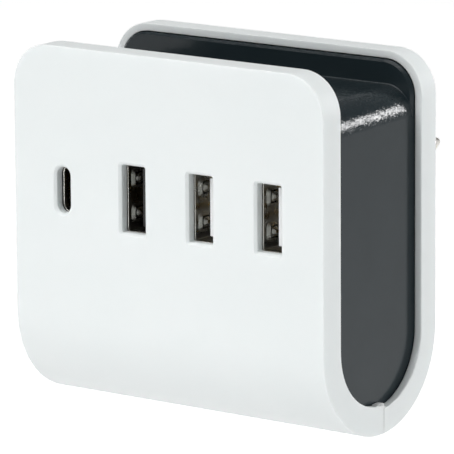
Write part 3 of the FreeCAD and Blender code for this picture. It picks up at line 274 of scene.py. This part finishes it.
# Finishes, one for each material slot, with lengths in millimetres
finishes = {
    # Moulded ABS from a satin mould: clean cool white with a slight cloud and no sharp glare
    "white_cover": moulded_plastic(
        "white_abs_moulded", "#e9eeee", "#edf1f1",
        cloud=14, grit=0.5, depth=0.004, rough=(0.52, 0.60), soak=0.8,
    ),
    # Moulded ABS from a spark eroded mould: blue black, its grit breaks a lamp's glare into sparks
    "dark_housing": pitted_plastic(
        "charcoal_abs_spark_eroded", "#1e282c", "#262f33",
        cloud=9, pit=0.15, lean=(0.1, 0.56), rough=(0.15, 0.18), specular=0.25,
    ),
    # Moulded PBT: a white that is a little greyer than the covers, with a slight sheen
    "plug_plastic": moulded_plastic(
        "white_pbt_moulded", "#e6e7e6", "#ecedec",
        cloud=12, grit=0.4, depth=0.01, rough=(0.42, 0.52),
    ),
    # Moulded nylon: plain white, dull
    "white_insulator": moulded_plastic(
        "white_nylon_moulded", "#e2e4e5", "#eaebec",
        cloud=4, grit=0.2, depth=0.004, rough=(0.45, 0.55),
    ),
    # Moulded nylon: plain black, dull
    "black_insulator": moulded_plastic(
        "black_nylon_moulded", "#0d0d0e", "#141415",
        cloud=4, grit=0.2, depth=0.006, rough=(0.45, 0.55),
    ),
    # Turned brass with nickel plate: warm silver with fine rings round the pin
    "nickel_pin": drawn_metal(
        "nickel_plated_brass_turned", "#bdbab2", "#cfccc4",
        lines=(6, 0.12, 6), rough=(0.18, 0.28), depth=0.003,
    ),
    # Rolled steel with zinc plate: grey with a soft shine
    "screw_steel": drawn_metal(
        "zinc_plated_steel_rolled", "#9fa1a4", "#b4b6b8",
        lines=(2, 0.2, 2), rough=(0.28, 0.4), depth=0.004,
    ),
    # Rolled steel sheet with tin plate: grey with faint lines along the sheet
    "port_steel": drawn_metal(
        "tin_plated_steel_rolled", "#a8a7a1", "#c3c2bc",
        lines=(0.15, 3, 3), rough=(0.24, 0.32), depth=0.002,
    ),
    # Rolled bronze with a gold flash: yellow and bright
    "contact_brass": drawn_metal(
        "gold_flashed_bronze_rolled", "#c9a24f", "#dcb968",
        lines=(0.1, 2, 0.1), rough=(0.2, 0.3), depth=0.002,
    ),
    # Glass fibre board under a green mask: glossy dark green with the weave faintly felt
    "circuit_board": moulded_plastic(
        "green_mask_glass_fibre", "#0c3a20", "#124a2a",
        cloud=3, grit=0.3, depth=0.006, rough=(0.25, 0.4),
    ),
    # Fired ceramic: warm pale grey, dull
    "fuse_body": moulded_plastic(
        "ceramic_fuse_fired", "#b9b4a8", "#c8c3b8",
        cloud=3, grit=0.2, depth=0.006, rough=(0.4, 0.5),
    ),
    # Moulded PBT case: plain yellow
    "film_capacitor": moulded_plastic(
        "yellow_pbt_case", "#c69a1d", "#d4a92a",
        cloud=5, grit=0.3, depth=0.006, rough=(0.35, 0.45),
    ),
    # Dipped lacquer: blue, glossy and a little uneven
    "disc_capacitor": moulded_plastic(
        "blue_lacquer_dipped", "#2a5c96", "#356aa6",
        cloud=3, grit=0.4, depth=0.02, rough=(0.25, 0.4),
    ),
    # Sintered ferrite: dull dark grey with a fine grain
    "ferrite": moulded_plastic(
        "ferrite_sintered", "#1b1b1d", "#28282a",
        cloud=2, grit=0.15, depth=0.015, rough=(0.5, 0.65),
    ),
    # Drawn copper wire under enamel: red brown and shiny
    "copper_winding": drawn_metal(
        "enamelled_copper_drawn", "#8a4a24", "#a35a2e",
        lines=(0.4, 0.4, 0.4), rough=(0.25, 0.35), depth=0.01,
    ),
    # Shrunk sleeve: blue black and glossy
    "can_sleeve": moulded_plastic(
        "black_sleeve_shrunk", "#12141a", "#1a1d26",
        cloud=5, grit=0.5, depth=0.01, rough=(0.25, 0.35),
    ),
    # Wound polyester tape: yellow with a low shine
    "winding_tape": moulded_plastic(
        "yellow_tape_wound", "#cfae22", "#dcbd33",
        cloud=4, grit=0.3, depth=0.006, rough=(0.35, 0.5),
    ),
}

for entry in frame["record"]["subparts"]:
    solid = frame["nodes"][entry["node"]]
    solid.data.materials.clear()
    solid.data.materials.append(finishes[entry["material_slot"]])


def new_tree(name, sizes):
    """A Geometry Nodes tree with one named length for each size, and the sockets that give them."""
    tree = bpy.data.node_groups.new(name, "GeometryNodeTree")
    tree.is_modifier = True
    for size in sizes:
        tree.interface.new_socket(size, in_out="INPUT", socket_type="NodeSocketFloat")
    tree.interface.new_socket("Mesh", in_out="OUTPUT", socket_type="NodeSocketGeometry")
    return tree, add(tree, "NodeGroupInput").outputs


def make_piece(name, tree, sizes):
    """Run a tree with these sizes in millimetres, and keep the plain mesh, riding on the body."""
    piece = bpy.data.objects.new(name, bpy.data.meshes.new(name))
    bpy.context.collection.objects.link(piece)
    maker = piece.modifiers.new(name, "NODES")
    maker.node_group = tree
    for socket in tree.interface.items_tree:
        if socket.in_out == "INPUT":
            maker[socket.identifier] = sizes[socket.name] * MM
    graph = bpy.context.evaluated_depsgraph_get()
    made = bpy.data.meshes.new_from_object(piece.evaluated_get(graph))
    piece.modifiers.remove(maker)
    piece.data = made
    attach(piece, "root")


# Bead along the crease where the shelf meets the back panel: a fine raised line, lit by the lamps
CREASE = {
    "Half width": 33.3,
    "Level": 19.1,
    "Foot": 13.7,
    "Corner": 5.4,
    "Seam": -5.5,
    "Radius": 0.3,
}
CORNER_STEPS = 16
BEAD_SIDES = 12

tree, size = new_tree("crease_bead", CREASE)
left = add(tree, "ShaderNodeMath", {0: size["Half width"], 1: -1.0}, operation="MULTIPLY")
foot = {"X": left.outputs[0], "Y": size["Seam"], "Z": size["Foot"]}
low_left = add(tree, "ShaderNodeCombineXYZ", foot)
low_right = add(tree, "ShaderNodeCombineXYZ", {**foot, "X": size["Half width"]})
top_left = add(tree, "ShaderNodeCombineXYZ", {**foot, "Z": size["Level"]})
top_right = add(
    tree,
    "ShaderNodeCombineXYZ",
    {**foot, "X": size["Half width"], "Z": size["Level"]},
)
route = add(
    tree,
    "GeometryNodeCurvePrimitiveQuadrilateral",
    {
        "Point 1": low_left.outputs[0],
        "Point 2": top_left.outputs[0],
        "Point 3": top_right.outputs[0],
        "Point 4": low_right.outputs[0],
    },
    mode="POINTS",
)
opened = add(tree, "GeometryNodeSetSplineCyclic", {"Geometry": route.outputs[0], "Cyclic": False})
rounded = add(
    tree,
    "GeometryNodeFilletCurve",
    {
        "Curve": opened.outputs[0],
        "Radius": size["Corner"],
        "Count": CORNER_STEPS,
        "Limit Radius": True,
    },
    mode="POLY",
)
section = add(
    tree,
    "GeometryNodeCurvePrimitiveCircle",
    {"Resolution": BEAD_SIDES, "Radius": size["Radius"]},
)
swept = add(
    tree,
    "GeometryNodeCurveToMesh",
    {"Curve": rounded.outputs[0], "Profile Curve": section.outputs[0], "Fill Caps": True},
)
plain = add(tree, "GeometryNodeRealizeInstances", {"Geometry": swept.outputs[0]})
dressed = add(
    tree,
    "GeometryNodeSetMaterial",
    {"Geometry": plain.outputs[0], "Material": finishes["dark_housing"]},
)
add(tree, "NodeGroupOutput", {"Mesh": dressed.outputs[0]})
make_piece("crease_bead", tree, CREASE)

# Rear cover with its two seam tongues slimmed to the slivers that the photograph shows
TONGUE_INNER_X, TONGUE_LOW_Z = 33.65, -37.35
TONGUE_FRONT_Y, JOINT_Y, TONGUE_BACK_Y = -18.9, -16.45, -15.85
FRONT_KEPT, BACK_KEPT, HEIGHT_KEPT = 0.76, 0.1, 0.33
NEAR = 0.02
SAME_POINT = 0.0001

slim = bmesh.new()
slim.from_mesh(frame["nodes"]["rear_cover"].data)
bmesh.ops.remove_doubles(slim, verts=slim.verts, dist=SAME_POINT * MM)
for corner in slim.verts:
    x, y, z = corner.co / MM
    beside = abs(x) > TONGUE_INNER_X - NEAR
    along = TONGUE_FRONT_Y - NEAR < y < TONGUE_BACK_Y + NEAR
    if beside and along and z > TONGUE_LOW_Z - NEAR:
        kept = FRONT_KEPT if y < JOINT_Y else BACK_KEPT
        corner.co.y = (JOINT_Y + (y - JOINT_Y) * kept) * MM
        corner.co.z = (TONGUE_LOW_Z + (z - TONGUE_LOW_Z) * HEIGHT_KEPT) * MM
slim_mesh = bpy.data.meshes.new("rear_cover_slim_tongues")
slim.to_mesh(slim_mesh)
slim.free()
slim_mesh.materials.append(finishes["white_cover"])
slim_cover = bpy.data.objects.new("rear_cover_slim_tongues", slim_mesh)
bpy.context.collection.objects.link(slim_cover)
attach(slim_cover, "root")
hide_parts("rear_cover")

# Camera at the photograph's place, from the straight edges and ports seen there
CAMERA_AT = Vector((513.168, -700.171, 166.161)) * MM
CAMERA_LOOKS = Vector((-0.588297, 0.783419, -0.200403))
CAMERA_YAW, CAMERA_ROLL = math.radians(36.90), math.radians(0.35)
LENS, SENSOR_WIDTH = 376.06, 36
FARTHEST = 20

forward = CAMERA_LOOKS.normalized()
level = Vector((math.cos(CAMERA_YAW), math.sin(CAMERA_YAW), 0))
down = forward.cross(level).normalized()
right = math.cos(CAMERA_ROLL) * level + math.sin(CAMERA_ROLL) * down
below = math.cos(CAMERA_ROLL) * down - math.sin(CAMERA_ROLL) * level
turn = Matrix((right, -below, -forward)).transposed().to_4x4()

camera_data = bpy.data.cameras.new("photo_camera")
camera_data.lens = LENS
camera_data.sensor_width = SENSOR_WIDTH
camera_data.clip_end = FARTHEST
camera = bpy.data.objects.new("photo_camera", camera_data)
camera.matrix_world = Matrix.Translation(CAMERA_AT) @ turn
bpy.context.collection.objects.link(camera)
bpy.context.scene.camera = camera


# Studio: soft lamps, a dim surround and a pale floor well below the part
def soft_lamp(name, place, size, power, spread=180):
    """A round lamp aimed at the part, in metres and watts, with its spread in degrees."""
    lamp = bpy.data.lights.new(name, "AREA")
    lamp.shape = "DISK"
    lamp.size = size
    lamp.energy = power
    lamp.spread = math.radians(spread)
    made = bpy.data.objects.new(name, lamp)
    made.location = place
    made.rotation_euler = (-Vector(place)).to_track_quat("-Z", "Y").to_euler()
    bpy.context.collection.objects.link(made)


soft_lamp("overhead_lamp", (-0.13, -0.45, 0.95), size=1.1, power=5.2)
soft_lamp("front_lamp", (-0.25, -0.72, 0.70), size=0.8, power=3.2)
soft_lamp("low_lamp", (-0.03, -0.33, -0.085), size=0.08, power=0.215)
soft_lamp("side_lamp", (1.0, 0.05, 0.15), size=0.6, power=1.85)
# Its narrow spread keeps it off the floor that the dark side mirrors
soft_lamp("rim_lamp", (0.565, 0.783, 0.256), size=0.25, power=0.36, spread=50)

SURROUND_STRENGTH = 0.2
world = bpy.data.worlds.new("studio")
bpy.context.scene.world = world
world.use_nodes = True
sky = world.node_tree
sky.nodes.clear()
surround = add(
    sky,
    "ShaderNodeBackground",
    {"Color": linear("#ffffff"), "Strength": SURROUND_STRENGTH},
)
add(sky, "ShaderNodeOutputWorld", {"Surface": surround.outputs[0]})

FLOOR_BELOW = 0.09
FLOOR_REACH = 12.0
FLOOR_LIFT = 0.7
floor_z = cad_box[0][2] - FLOOR_BELOW
floor_mesh = bpy.data.meshes.new("floor")
floor_mesh.from_pydata(
    [
        (x * FLOOR_REACH, y * FLOOR_REACH, floor_z)
        for x, y in ((-1, -1), (1, -1), (1, 1), (-1, 1))
    ],
    [],
    [(0, 1, 2, 3)],
)
floor = bpy.data.objects.new("floor", floor_mesh)
bpy.context.collection.objects.link(floor)

# Matt white paper, lifted towards white where it is seen directly, mirrored or through a piece
paper, sheet = new_material("white_paper_floor")
matt = add(sheet, "ShaderNodeBsdfDiffuse", {"Color": linear("#f4f4f4")})
ray = add(sheet, "ShaderNodeLightPath")
mirrored = add(
    sheet,
    "ShaderNodeMath",
    {0: ray.outputs["Is Camera Ray"], 1: ray.outputs["Is Glossy Ray"]},
    operation="MAXIMUM",
)
seen = add(
    sheet,
    "ShaderNodeMath",
    {0: mirrored.outputs[0], 1: ray.outputs["Is Transmission Ray"]},
    operation="MAXIMUM",
)
lift = add(sheet, "ShaderNodeMath", {0: seen.outputs[0], 1: FLOOR_LIFT}, operation="MULTIPLY")
glow = add(sheet, "ShaderNodeEmission", {"Strength": lift.outputs[0]})
both = add(sheet, "ShaderNodeAddShader", {0: matt.outputs[0], 1: glow.outputs[0]})
add(sheet, "ShaderNodeOutputMaterial", {"Surface": both.outputs[0]})
floor_mesh.materials.append(paper)

bpy.context.scene.view_settings.view_transform = "Standard"
